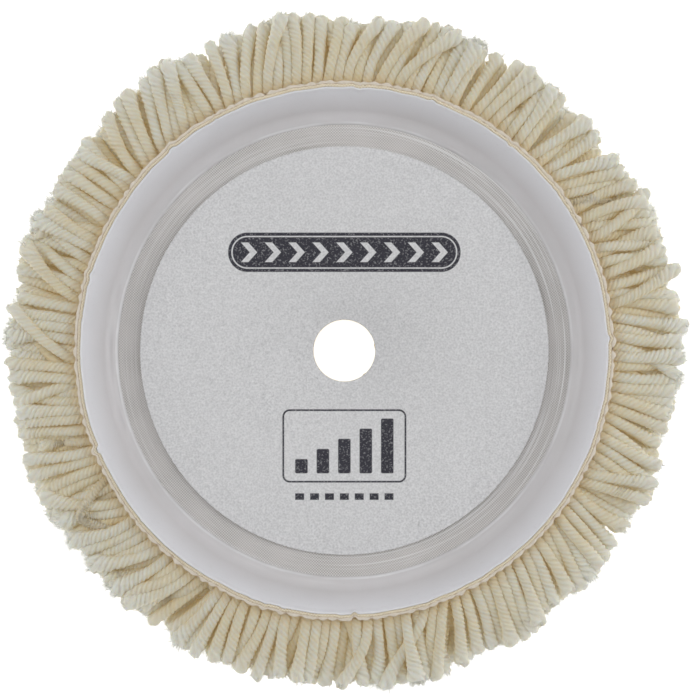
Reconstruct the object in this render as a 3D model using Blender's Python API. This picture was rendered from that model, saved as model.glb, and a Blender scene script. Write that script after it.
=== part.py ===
"""Recessed-back polishing pad with a twisted wool pile, for a rotary polisher.

A tufted wool cover is glued round the outside of a stiff woven dish. A disc of loop fabric fills the dish's
floor, and a hook-faced backing plate drops into the recess and grips it. A hole runs through the middle, so
that the plate can be centred by eye. The pad lies with its wool on the ground and its loop fabric up: +Z is
the pad's axis, and the origin is on that axis at the tips of the working face.
"""

import math

import bmesh
import bpy

MM = 0.001

# Driving dimensions
PAD_DIAMETER = 228.6 * MM
HOLE_RADIUS = 10.4 * MM
PILE_HEIGHT = 27.2 * MM
GAP = 0.3 * MM

# The dish: a flat floor, a round corner and a sloping wall, measured on the cloth's upper face
FLOOR_RADIUS = 76.5 * MM
CORNER_RADIUS = 6.0 * MM
WALL_SLOPE = math.radians(60)
WALL_LENGTH = 10.6 * MM
CORNER_LENGTH = CORNER_RADIUS * WALL_SLOPE

# Thicknesses, from the loop fabric down to the wool
LOOP_THICKNESS = 1.4 * MM
GLUE_THICKNESS = 0.4 * MM
LINER_THICKNESS = 0.7 * MM
DISH_THICKNESS = 0.7 * MM
LATEX_THICKNESS = 0.4 * MM
TUFTING_THICKNESS = 0.8 * MM

# Depths below the dish's upper face
LATEX_DEPTH = DISH_THICKNESS + GAP
TUFTING_DEPTH = LATEX_DEPTH + LATEX_THICKNESS + GAP
PILE_DEPTH = TUFTING_DEPTH + TUFTING_THICKNESS + GAP
FLOOR_Z = PILE_HEIGHT + PILE_DEPTH

# The round pieces in the recess
LOOP_RADIUS = 68.6 * MM
LOOP_EDGE_ROUND = 0.4 * MM
GLUE_RADIUS = 67.8 * MM
GLUE_EDGE_ROUND = 0.1 * MM
LINER_OVERLAP = 0.4 * MM
FLOOR_EDGE_ROUND = 0.15 * MM

# The liner's lip, from where the wall ends
LIP_OUTWARD = 0.52 * MM
LIP_INWARD = 0.39 * MM
LIP_RISE = 1.5 * MM
LIP_SHOULDER_RISE = 0.9 * MM

# The bead that seals the trimmed edges of the latex and the tufting cloth
BEAD_HEIGHT = 1.3 * MM
BEAD_TOP_SHARE = 0.7
BEAD_RIPPLE = 0.25 * MM
BEAD_RIPPLE_RATES = (0.9, 2.3)

# The pile: rows of tufts, each row a ring round the axis
FLOOR_ROWS = 11
CORNER_ROWS = 2
WALL_ROWS = 2
FIRST_ROW_RADIUS = 11.5 * MM
ROW_GAP = 0.6 * MM
SHOULDER = 0.9
TIP_INSET = 0.16
SCALLOP = 2.6 * MM
SPLAY_BEGINS = 0.7
SPLAY_START = math.radians(10)
SPLAY_CORNER = math.radians(54)
SPLAY_RIM = math.radians(84)

# Facets round the axis
SHELL_SEGMENTS = 48
INNER_ROW_SEGMENTS = 24
FLOOR_ROW_SEGMENTS = 36
OUTER_ROW_SEGMENTS = 72
INNER_ROW_LIMIT = 30 * MM

# Colour, roughness
FINISHES = {
    "loop_fabric": ((0.56, 0.56, 0.57), 0.95),
    "glue": ((0.72, 0.66, 0.48), 0.35),
    "clear_liner": ((0.58, 0.57, 0.58), 0.18),
    "coated_cloth": ((0.45, 0.42, 0.41), 0.30),
    "latex": ((0.74, 0.69, 0.58), 0.60),
    "tufting_cloth": ((0.62, 0.54, 0.40), 0.90),
    "edge_bead": ((0.68, 0.62, 0.54), 0.45),
    "wool": ((0.58, 0.49, 0.33), 0.95),
}


def clear_scene():
    """Empties the file that the script runs in."""
    for old in list(bpy.data.objects):
        bpy.data.objects.remove(old, do_unlink=True)


def finish(name):
    """A Principled material, made once for each name in FINISHES."""
    material = bpy.data.materials.get(name)
    if material is None:
        colour, roughness = FINISHES[name]
        material = bpy.data.materials.new(name)
        material.use_nodes = True
        shader = material.node_tree.nodes["Principled BSDF"]
        shader.inputs["Base Color"].default_value = (*colour, 1.0)
        shader.inputs["Roughness"].default_value = roughness
        shader.inputs["Metallic"].default_value = 0.0
        material.diffuse_color = (*colour, 1.0)
    return material


def turned_solid(name, outline_at, segments, seat, material, parent):
    """Turns a closed outline of (radius, height) points once round the axis.

    outline_at(step) gives the outline at each of the segments, so a ring can be scalloped. The object stands
    at the height seat.
    """
    mesh = bmesh.new()
    rings = []
    for step in range(segments):
        turn = 2 * math.pi * step / segments
        rings.append([
            mesh.verts.new((radius * math.cos(turn), radius * math.sin(turn), height - seat))
            for radius, height in outline_at(step)
        ])
    for step, ring in enumerate(rings):
        following = rings[(step + 1) % segments]
        for side in range(len(ring)):
            after = (side + 1) % len(ring)
            mesh.faces.new((ring[side], following[side], following[after], ring[after]))
    bmesh.ops.recalc_face_normals(mesh, faces=mesh.faces)
    data = bpy.data.meshes.new(name)
    mesh.to_mesh(data)
    mesh.free()
    data.shade_smooth()
    data.set_sharp_from_angle(angle=math.radians(35))
    data.materials.append(finish(material))
    piece = bpy.data.objects.new(name, data)
    piece.location = (0, 0, seat)
    piece.parent = parent
    bpy.context.scene.collection.objects.link(piece)
    return piece


def dish_point(station, depth):
    """The (radius, height) at a distance along the dish's upper face, depth below that face.

    Stations count from where the flat floor ends: negative on the floor, then round the corner, then up
    the wall.
    """
    if station <= 0:
        return FLOOR_RADIUS + station, FLOOR_Z - depth
    turn = min(station / CORNER_RADIUS, WALL_SLOPE)
    reach = CORNER_RADIUS + depth
    radius = FLOOR_RADIUS + reach * math.sin(turn)
    height = FLOOR_Z + CORNER_RADIUS - reach * math.cos(turn)
    climb = max(station - CORNER_LENGTH, 0)
    return radius + climb * math.cos(WALL_SLOPE), height + climb * math.sin(WALL_SLOPE)


def stations_between(start, end):
    """The stations that a layer of the dish needs: its two ends and the corner's facets."""
    corner = [CORNER_LENGTH * step / 3 for step in range(4)]
    return [start] + [s for s in corner if start < s < end] + [end]


def dish_layer(start, end, upper_depth, thickness):
    """The outline of a layer that follows the dish from one station to another."""
    stations = stations_between(start, end)
    upper = [dish_point(station, upper_depth) for station in stations]
    lower = [dish_point(station, upper_depth + thickness) for station in stations]
    return upper + lower[::-1]


def disc_outline(radius, base, thickness, edge_round):
    """The outline of a flat washer round the centre hole, with its outer top edge eased."""
    top = base + thickness
    return [
        (HOLE_RADIUS, base),
        (radius, base),
        (radius, top - edge_round),
        (radius - edge_round, top),
        (HOLE_RADIUS, top),
    ]


def make_loop_side(parent):
    """The loop fabric disc and the glue film that holds it to the dish's floor."""
    glue_z = FLOOR_Z + GAP
    loop_z = glue_z + GLUE_THICKNESS + GAP
    glue = disc_outline(GLUE_RADIUS, glue_z, GLUE_THICKNESS, GLUE_EDGE_ROUND)
    loop = disc_outline(LOOP_RADIUS, loop_z, LOOP_THICKNESS, LOOP_EDGE_ROUND)
    turned_solid("loop_glue_film", lambda step: glue, SHELL_SEGMENTS, glue_z, "glue", parent)
    turned_solid("loop_disc", lambda step: loop, SHELL_SEGMENTS, loop_z, "loop_fabric", parent)


def make_dish(parent):
    """The stiff woven dish in its two pieces, and the moulded liner over its wall and rim."""
    wall_end = CORNER_LENGTH + WALL_LENGTH
    floor_edge = FLOOR_RADIUS - LINER_OVERLAP - GAP
    floor = disc_outline(floor_edge, FLOOR_Z - DISH_THICKNESS, DISH_THICKNESS, FLOOR_EDGE_ROUND)
    wall = dish_layer(-LINER_OVERLAP, wall_end, 0, DISH_THICKNESS)
    turned_solid("dish_floor", lambda step: floor, SHELL_SEGMENTS, FLOOR_Z, "coated_cloth", parent)
    turned_solid("dish_wall", lambda step: wall, SHELL_SEGMENTS, FLOOR_Z, "coated_cloth", parent)

    stations = stations_between(-LINER_OVERLAP, wall_end)
    lower = [dish_point(station, -GAP) for station in stations]
    upper = [dish_point(station, -GAP - LINER_THICKNESS) for station in stations]
    rim_radius, rim_height = lower[-1]
    lip = [
        (rim_radius + LIP_OUTWARD, rim_height + LIP_SHOULDER_RISE),
        (rim_radius + LIP_OUTWARD, rim_height + LIP_RISE),
        (rim_radius - LIP_INWARD, rim_height + LIP_RISE),
    ]
    liner = lower + lip + upper[::-1]
    turned_solid("wall_liner", lambda step: liner, SHELL_SEGMENTS, FLOOR_Z, "clear_liner", parent)


def make_cover(parent):
    """The cover that carries the wool: the latex that locks its tufts, its cloth, and its edge bead."""
    hole_station = HOLE_RADIUS - FLOOR_RADIUS
    wall_end = CORNER_LENGTH + WALL_LENGTH - BEAD_HEIGHT
    latex = dish_layer(hole_station, wall_end, LATEX_DEPTH, LATEX_THICKNESS)
    cloth = dish_layer(hole_station, wall_end, TUFTING_DEPTH, TUFTING_THICKNESS)
    turned_solid("latex_coat", lambda step: latex, SHELL_SEGMENTS, FLOOR_Z, "latex", parent)
    turned_solid("tufting_cloth", lambda step: cloth, SHELL_SEGMENTS, FLOOR_Z, "tufting_cloth", parent)

    inner = dish_point(wall_end + GAP, LATEX_DEPTH)
    outer = dish_point(wall_end + GAP, TUFTING_DEPTH + TUFTING_THICKNESS)
    top_inner = dish_point(wall_end + BEAD_HEIGHT, LATEX_DEPTH)
    top_outer = dish_point(wall_end + BEAD_HEIGHT, TUFTING_DEPTH + BEAD_TOP_SHARE * TUFTING_THICKNESS)

    def bead_outline(step):
        ripple = BEAD_RIPPLE * sum(math.sin(step * rate) for rate in BEAD_RIPPLE_RATES) / 2
        return [
            inner,
            outer,
            (top_outer[0] + ripple, (outer[1] + top_outer[1]) / 2),
            (top_outer[0] + ripple, top_outer[1]),
            (top_inner[0], top_inner[1] + ripple / 2),
        ]

    turned_solid("edge_bead", bead_outline, OUTER_ROW_SEGMENTS, FLOOR_Z, "edge_bead", parent)


def row_edges():
    """Where each row of tufts begins and ends: (station, splay, pile length) for each edge, hole to rim.

    The tufts hang straight down over most of the floor, and fan outwards round the corner and up the wall.
    """
    first = FIRST_ROW_RADIUS - FLOOR_RADIUS
    edges = []
    for row in range(FLOOR_ROWS + 1):
        along = row / FLOOR_ROWS
        splay = SPLAY_START * max(0.0, (along - SPLAY_BEGINS) / (1 - SPLAY_BEGINS)) ** 2
        edges.append((first * (1 - along), splay, PILE_HEIGHT / math.cos(splay)))
    for row in range(1, CORNER_ROWS + 1):
        along = row / CORNER_ROWS
        splay = SPLAY_START + (SPLAY_CORNER - SPLAY_START) * along
        edges.append((CORNER_LENGTH * along, splay, PILE_HEIGHT))
    wall_rows_length = WALL_LENGTH - BEAD_HEIGHT
    rim_station = CORNER_LENGTH + wall_rows_length
    rim_tip_station = rim_station - ROW_GAP / 2 - TIP_INSET * (wall_rows_length / WALL_ROWS - ROW_GAP)
    rim_length = (PAD_DIAMETER / 2 - dish_point(rim_tip_station, PILE_DEPTH)[0]) / math.sin(SPLAY_RIM)
    for row in range(1, WALL_ROWS + 1):
        along = row / WALL_ROWS
        splay = SPLAY_CORNER + (SPLAY_RIM - SPLAY_CORNER) * along
        length = PILE_HEIGHT + (rim_length - PILE_HEIGHT) * along
        edges.append((CORNER_LENGTH + wall_rows_length * along, splay, length))
    return edges


def tuft_point(station, splay, length):
    """The (radius, height) at a length down a tuft that is rooted at a station."""
    radius, height = dish_point(station, PILE_DEPTH)
    return radius + length * math.sin(splay), max(height - length * math.cos(splay), 0.0)


def row_outline(inner_edge, outer_edge, shortening):
    """The outline of one row: its two roots, its two shoulders and its trimmed tips."""
    station_in, splay_in, length_in = inner_edge
    station_out, splay_out, length_out = outer_edge
    station_in += ROW_GAP / 2
    station_out -= ROW_GAP / 2
    width = station_out - station_in
    inset = TIP_INSET * width
    return [
        tuft_point(station_in, splay_in, 0),
        tuft_point(station_out, splay_out, 0),
        tuft_point(station_out, splay_out, SHOULDER * length_out - shortening),
        tuft_point(station_out - inset, splay_out, length_out - shortening),
        tuft_point(station_in + inset, splay_in, length_in - shortening),
        tuft_point(station_in, splay_in, SHOULDER * length_in - shortening),
    ]


def make_pile(parent):
    """The wool: one ring for each row of tufts. Rows past the floor end in scallops, as clumps of yarn do."""
    edges = row_edges()
    for row in range(len(edges) - 1):
        on_floor = row < FLOOR_ROWS
        inner_edge, outer_edge = edges[row], edges[row + 1]

        def outline_at(step, inner_edge=inner_edge, outer_edge=outer_edge, on_floor=on_floor):
            dip = 0.0 if on_floor else SCALLOP * (step % 2)
            return row_outline(inner_edge, outer_edge, dip)

        radius = FLOOR_RADIUS + outer_edge[0]
        segments = OUTER_ROW_SEGMENTS
        if on_floor:
            segments = INNER_ROW_SEGMENTS if radius < INNER_ROW_LIMIT else FLOOR_ROW_SEGMENTS
        turned_solid(f"pile_row_{row + 1:02d}", outline_at, segments, FLOOR_Z, "wool", parent)


def main():
    clear_scene()
    pad = bpy.data.objects.new("polishing_pad", None)
    pad.empty_display_size = PAD_DIAMETER / 2
    bpy.context.scene.collection.objects.link(pad)
    make_loop_side(pad)
    make_dish(pad)
    make_cover(pad)
    make_pile(pad)


main()
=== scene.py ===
"""The looks of a recessed-back, twisted wool polishing pad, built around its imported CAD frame.

The pad lies on its wool with its loop-fabric back up, and the camera looks straight down on that back.
Every tuft of yarn is modelled: it is rooted in the tufting cloth, leans with its neighbours, is pushed
apart from them and is trimmed to the pad's outline. Packed tufts still run into one another.
"""

import math

import bpy
import numpy as np
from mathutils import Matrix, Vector
from mathutils.kdtree import KDTree


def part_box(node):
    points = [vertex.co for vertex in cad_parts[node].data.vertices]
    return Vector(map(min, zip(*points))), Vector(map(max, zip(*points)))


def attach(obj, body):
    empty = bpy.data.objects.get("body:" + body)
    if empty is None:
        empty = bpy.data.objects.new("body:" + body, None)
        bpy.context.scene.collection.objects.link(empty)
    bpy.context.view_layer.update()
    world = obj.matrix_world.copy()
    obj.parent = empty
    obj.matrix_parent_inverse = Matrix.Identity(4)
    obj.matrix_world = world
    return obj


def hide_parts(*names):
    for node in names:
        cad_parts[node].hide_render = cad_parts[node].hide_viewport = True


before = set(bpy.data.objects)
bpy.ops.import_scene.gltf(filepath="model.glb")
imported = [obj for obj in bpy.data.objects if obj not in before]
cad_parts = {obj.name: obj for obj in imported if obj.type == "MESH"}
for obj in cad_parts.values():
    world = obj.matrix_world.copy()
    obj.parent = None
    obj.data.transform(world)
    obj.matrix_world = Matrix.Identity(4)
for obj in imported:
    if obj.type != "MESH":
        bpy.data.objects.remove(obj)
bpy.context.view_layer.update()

MM = 0.001
TURN = 2 * math.pi
CELL_MARGIN = 0.06
CELL_USED = 1 - 2 * CELL_MARGIN
BODY = "root"
RANDOM = np.random.default_rng(9)

# The dish's shape, as in the CAD: a flat floor, a round corner and a sloping wall
GAP = 0.3 * MM
LINER_OVERLAP = 0.4 * MM
LINER_THICKNESS = 0.7 * MM
CLOTH_THICKNESS = 0.7 * MM
COVER_THICKNESS = 0.8 * MM
CORNER_RADIUS = 6.0 * MM
WALL_SLOPE = math.radians(60)
WALL_LENGTH = 10.6 * MM
CORNER_LENGTH = CORNER_RADIUS * WALL_SLOPE
WALL_END = CORNER_LENGTH + WALL_LENGTH
BEAD_HEIGHT = 1.3 * MM

# The surface of the back
RIM_STEPS = 720
HIDDEN_STEPS = 360
LOOP_EDGE = 0.35 * MM
NAP_DEPTH = 0.25 * MM
NAP_FIBRES = 9500
NAP_THICKNESS = 0.04 * MM
FLOOR_RINGS = 0.03 * MM
FLOOR_RIPPLE = 0.05 * MM
WEAVE_PITCH = 0.46 * MM
CREASE_STATION = 0.2 * MM
CREASE_WIDTH = 0.45 * MM
CREASE_RIDGE = 0.16 * MM

# The trimmed rim, from the liner's lip to the outer bead, as distances from where the wall ends
RIM_WOBBLE = 0.10 * MM
RIM_JOGS = 34
RIM_JOG_SIZE = 0.34 * MM
CLOTH_EDGE = (0.10 * MM, 1.02 * MM)
BEAD_EDGE = (0.95 * MM, 2.15 * MM)
CLOTH_EDGE_LOW, CLOTH_EDGE_TOP = -0.4 * MM, 0.9 * MM
BEAD_LOW, BEAD_TOP = -1.2 * MM, 0.75 * MM
BEAD_SIDE = (0.66 * MM, 0.36 * MM)
BEAD_BUMPS = 0.16 * MM
CLOTH_FRAY = 0.06 * MM
LINER_EDGE = 0.05 * MM
LINER_THICKENS_OVER = 2.6 * MM
# The liner's lip: distances out from the top of the wall, and down from the rim, in millimetres
LIP = ((0.47, 0.62), (0.67, 0.22), (0.93, 0.02), (1.13, 0.05), (1.21, 0.22), (1.13, 0.60), (0.97, 1.1))

# The printed marks on the loop fabric
PRINT_EDGE = 0.10 * MM
BAND_Y, BAND_HALF_WIDTH, BAND_HALF_HEIGHT = 33.0 * MM, 39.0 * MM, 6.6 * MM
BAND_INLAY = 1.3 * MM
CHEVRON_PITCH, CHEVRON_HALF_WIDTH, CHEVRON_HALF_HEIGHT = 8.0 * MM, 1.25 * MM, 3.3 * MM
CHEVRONS = 9
PANEL_Y, PANEL_HALF_WIDTH, PANEL_HALF_HEIGHT, PANEL_CORNER = -32.0 * MM, 20.5 * MM, 12.0 * MM, 2.2 * MM
PANEL_FOOT = 9.2 * MM
BARS, BAR_PITCH, BAR_HALF_WIDTH = 5, 7.2 * MM, 2.1 * MM
FIRST_BAR_HALF_HEIGHT, BAR_GROWTH = 2.4 * MM, 1.7 * MM
DASH_Y, DASH_PITCH, DASH_HALF_WIDTH, DASH_HALF_HEIGHT = -49.0 * MM, 5.0 * MM, 1.5 * MM, 1.1 * MM
DASH_ROW_HALF_WIDTH = 17.5 * MM

# The rows of tufts are rooted as in the CAD. The outer ones splay further than the CAD's rows do
FLOOR_ROWS = 11
CORNER_ROWS = 2
WALL_ROWS = 2
FIRST_ROW_RADIUS = 11.5 * MM
SPLAY_BEGINS, SPLAY_SPAN = 0.7, 0.3
SPLAY_START = math.radians(10)
SPLAY_CORNER = math.radians(66)
SPLAY_RIM = math.radians(88)

# The yarn: four plies with an S twist, whose cut end opens
YARN_RADIUS = 1.88 * MM
PLIES = 4
TWIST_LENGTH = 6.6 * MM
TUFT_PITCH = 3.3 * MM
CIRCLES_IN_ROW = 2
PATH_NODES = 12
GROOVE_DEPTH = 0.14
# Where along a tuft, from 0 at its root to 1, each change begins, and over how much of it
TWIST_SLACKENS, BLOOMS, PARTS, PLIES_SLIP = (0.78, 0.22), (0.45, 0.50), (0.90, 0.10), (0.85, 0.15)
TWIST_LOST = 0.11
END_ROUND = 0.06
PLY_SLIP = 0.55 * MM
YARN_ROUGHNESS = 0.05
END_SWELL = 0.62

# How finely each part of the pile is made: rings along a tuft, points round a ply, loose fibres on a tuft
FACE_DETAIL, CORNER_DETAIL, WALL_DETAIL = (13, 3, 3), (32, 3, 18), (36, 4, 44)
FACE_TWIST_FROM = 0.6
OPENED_FIBRES = 170
FIBRE_THICKNESS = 0.09 * MM
FIBRES_FROM, FIBRES_TO = 0.66, 0.985
FIBRE_SAMPLES = 33

# How the tufts lie before they are packed
LEAN_MEAN = math.radians(13)
LEAN_SWING = math.radians(9)
LEAN_JITTER = math.radians(5)
STRAY_SHARE = 0.10
STRAY_ANGLES = (0.25, 0.55)
STRAY_RISE = 2.0 * MM
LEAST_FREEDOM = 0.25
PLACE_JITTER = 0.09
SPLAY_JITTER = 3.0
LIFT_SWING = 3.0
LENGTH_SWING, LENGTH_JITTER = 0.07, 0.025
WIGGLE, BOUNCE = 1.2 * MM, 0.7 * MM
OPEN_SHARE = 0.15
OPEN_BLOOM = 1.3
DROOP = 2.5 * MM
# The least paleness a tuft may have: higher in the top circle, so the circles below are tanner as painted
# shade, over each tuft's random tone
PALEST_AT_TOP, PALEST_BELOW = 0.45, 0.15

# How the outer tufts are trimmed inside the pad's outline. Each circle down from the top is trimmed one
# step shorter. The inset and the step are in millimetres
FIRST_TRIMMED_CIRCLE = FLOOR_ROWS * CIRCLES_IN_ROW + 2
TRIM_INSET, TRIM_STEP = 2.2, 0.9
TRIM_SWING, TRIM_JITTER = 1.0 * MM, 0.5 * MM

# How they are packed
RELAX_STEPS = 48
PAIR_STEPS = 6
TRIM_STEPS = 12
LAST_SMOOTHING = 5
STIFFNESS = 0.36
STEEPEST = 0.04
LONGEST_PUSH = 0.8 * MM
PAIR_REACH = 1.3
CLEARANCE = 0.9
TRIM_LIMITS = (0.8, 1.25)
LEAST_REACH = 5 * MM
YARN_SPACING = 3.1 * MM
TIP_SPACING = 4.1 * MM


# --- Meshes ---

def add_mesh(name, points, *face_groups):
    """A smooth mesh object from an array of points and arrays of faces, each array with faces of one size."""
    data = bpy.data.meshes.new(name)
    corners = np.concatenate([group.ravel() for group in face_groups]).astype(np.int32)
    sizes = np.concatenate([np.full(len(group), group.shape[1]) for group in face_groups])
    starts = np.concatenate([[0], np.cumsum(sizes)[:-1]]).astype(np.int32)
    data.vertices.add(len(points))
    data.vertices.foreach_set("co", np.ascontiguousarray(points, np.float32).ravel())
    data.loops.add(len(corners))
    data.loops.foreach_set("vertex_index", corners)
    data.polygons.add(len(sizes))
    data.polygons.foreach_set("loop_start", starts)
    data.update(calc_edges=True)
    data.validate()
    data.shade_smooth()
    piece = bpy.data.objects.new(name, data)
    bpy.context.scene.collection.objects.link(piece)
    return piece


def add_field(piece, name, values):
    """Stores one number for each vertex, for the piece's material."""
    layer = piece.data.attributes.new(name, "FLOAT", "POINT")
    layer.data.foreach_set("value", np.ascontiguousarray(values, np.float32).ravel())


def place(piece, material, slot, *nodes):
    """Gives a piece its material and its body, and hides the CAD nodes that it stands for. The slot is not
    used.
    """
    piece.data.materials.append(material)
    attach(piece, BODY)
    if nodes:
        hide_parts(*nodes)


def ring_faces(rings, around, closed_loop=False):
    """The quads between successive rings of points. With closed_loop the last ring meets the first."""
    spans = rings if closed_loop else rings - 1
    ring = np.arange(spans)[:, None]
    side = np.arange(around)[None, :]
    here = ring * around
    after = ((ring + 1) % rings) * around
    following = (side + 1) % around
    corners = [here + side, here + following, after + following, after + side]
    return np.stack(corners, -1).reshape(-1, 4)


def turned(name, section, steps):
    """A ring turned round the axis. section(turns) gives (radius, height) arrays of shape (steps, points)."""
    turns = np.linspace(0, TURN, steps, endpoint=False)[:, None]
    radius, height = section(turns)
    points = np.stack([radius * np.cos(turns), radius * np.sin(turns), height], -1)
    faces = ring_faces(steps, radius.shape[1], closed_loop=True)
    return add_mesh(name, points.reshape(-1, 3), faces)


def tubes(name, points, cell_shape):
    """One mesh of closed tubes from points of shape (tubes, rings, around, 3), each unrolled in its own cell.

    cell_shape is how many times as tall as it is wide a tube's cell of the texture is.
    """
    count, rings, around, _ = points.shape
    side = np.arange(around)
    first_points = np.arange(count)[:, None, None] * rings * around
    quads = (ring_faces(rings, around)[None] + first_points).reshape(-1, 4)
    root_caps = side[::-1][None, None] + first_points
    tip_caps = (rings - 1) * around + side[None, None] + first_points
    caps = np.concatenate([root_caps, tip_caps]).reshape(-1, around)
    piece = add_mesh(name, points.reshape(-1, 3), quads, caps)

    columns = math.ceil(math.sqrt(count * cell_shape))
    rows = math.ceil(count / columns)
    column = (np.arange(count) % columns)[:, None, None]
    row = (np.arange(count) // columns)[:, None, None]
    across = np.tile(side[:, None] + np.array([0, 1, 1, 0]), (rings - 1, 1)) / around
    up = np.repeat(np.arange(rings - 1), around)[:, None] + np.array([0, 0, 1, 1])
    quad_places = np.stack([(column + CELL_MARGIN + CELL_USED * across) / columns,
                            (row + CELL_MARGIN + CELL_USED * up / (rings - 1)) / rows], -1)
    cap_across = (column + CELL_MARGIN + CELL_USED * side / around) / columns
    foot = np.broadcast_to((row + CELL_MARGIN) / rows, cap_across.shape)
    head = np.broadcast_to((row + CELL_MARGIN + CELL_USED) / rows, cap_across.shape)
    root_places = np.stack([cap_across[..., ::-1], foot], -1)
    tip_places = np.stack([cap_across, head], -1)
    places = np.concatenate([part.reshape(-1, 2) for part in (quad_places, root_places, tip_places)])
    layer = piece.data.uv_layers.new(name="OFBake")
    layer.data.foreach_set("uv", np.ascontiguousarray(places, np.float32).ravel())
    return piece


def thin_fibres(name, paths, taper):
    """One mesh of three-sided fibres along short paths. taper is the radius at each node."""
    _, side_a, side_b = frames_along(paths)
    corners = np.arange(3) * TURN / 3
    ring = (np.cos(corners)[None, None, :, None] * side_a[:, :, None]
            + np.sin(corners)[None, None, :, None] * side_b[:, :, None])
    return tubes(name, paths[:, :, None] + ring * taper[None, :, None, None], 2.0)


def smooth_paths(paths, along):
    """Points at the given fractions of each path, on a curve through its nodes."""
    spans = paths.shape[1] - 1
    place_on = np.clip(along, 0, 1) * spans
    left = np.minimum(place_on.astype(int), spans - 1)
    t = (place_on - left)[None, :, None]
    before_first = 2 * paths[:, :1] - paths[:, 1:2]
    after_last = 2 * paths[:, -1:] - paths[:, -2:-1]
    padded = np.concatenate([before_first, paths, after_last], 1)
    before, here, after, beyond = (padded[:, left + shift] for shift in range(4))
    linear = (after - before) * t
    square = (2 * before - 5 * here + 4 * after - beyond) * t ** 2
    cube = (3 * here - before - 3 * after + beyond) * t ** 3
    return 0.5 * (2 * here + linear + square + cube)


def frames_along(curves):
    """The tangent and two normals at each point of each curve, turning as little as they can."""
    tangents = np.gradient(curves, axis=1)
    tangents /= np.linalg.norm(tangents, axis=2)[..., None]
    normals = np.empty_like(tangents)
    aside = np.cross(tangents[:, 0], [0.0, 0.0, 1.0]) + np.array([1e-6, 0, 0])
    normals[:, 0] = aside / np.linalg.norm(aside, axis=1)[:, None]
    for ring in range(1, curves.shape[1]):
        carried = normals[:, ring - 1]
        tangent = tangents[:, ring]
        carried = carried - tangent * (carried * tangent).sum(1)[:, None]
        normals[:, ring] = carried / np.linalg.norm(carried, axis=1)[:, None]
    return tangents, normals, np.cross(tangents, normals)


class Waves:
    """A smooth random function round the pad, about -1 to 1, that changes from circle to circle."""

    def __init__(self, lowest, highest, count, drift=0.0):
        self.counts = RANDOM.integers(lowest, highest + 1, count)
        self.phases = RANDOM.uniform(0, TURN, count)
        self.drifts = RANDOM.normal(0, drift, count)
        self.scale = math.sqrt(2 / count)

    def at(self, turns, circle=0):
        angles = turns.ravel()[:, None] * self.counts + self.phases + circle * self.drifts
        return np.sin(angles).sum(1) * self.scale

    def column(self, turns, size):
        """The function times size, as a column for turned()."""
        return size * self.at(turns)[:, None]


# --- How materials are written ---

class Field:
    """A number that varies over a surface. Arithmetic on it adds Math nodes to its material."""

    def __init__(self, tree, socket):
        self.tree = tree
        self.socket = socket

    def apply(self, operation, *others, clamp=False):
        node = self.tree.nodes.new("ShaderNodeMath")
        node.operation = operation
        node.use_clamp = clamp
        for slot, value in enumerate((self, *others)):
            if isinstance(value, Field):
                self.tree.links.new(value.socket, node.inputs[slot])
            else:
                node.inputs[slot].default_value = value
        return Field(self.tree, node.outputs[0])

    def __add__(self, other):
        return self.apply("ADD", other)

    def __sub__(self, other):
        return self.apply("SUBTRACT", other)

    def __mul__(self, other):
        return self.apply("MULTIPLY", other)

    def __truediv__(self, other):
        return self.apply("DIVIDE", other)

    def __abs__(self):
        return self.apply("ABSOLUTE")

    def most(self, other):
        return self.apply("MAXIMUM", other)

    def sine(self):
        return self.apply("SINE")

    def power(self, exponent):
        return self.apply("POWER", exponent)

    def clamped(self):
        return self.apply("ADD", 0.0, clamp=True)

    def ramp(self, start, end):
        """0 below start and 1 above end, or the other way round where start is the larger."""
        return ((self - start) / (end - start)).clamped()

    def repeat(self, pitch):
        """The distance to the nearest multiple of pitch."""
        return abs((self / pitch + 0.5).apply("FRACT") - 0.5) * pitch


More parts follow.
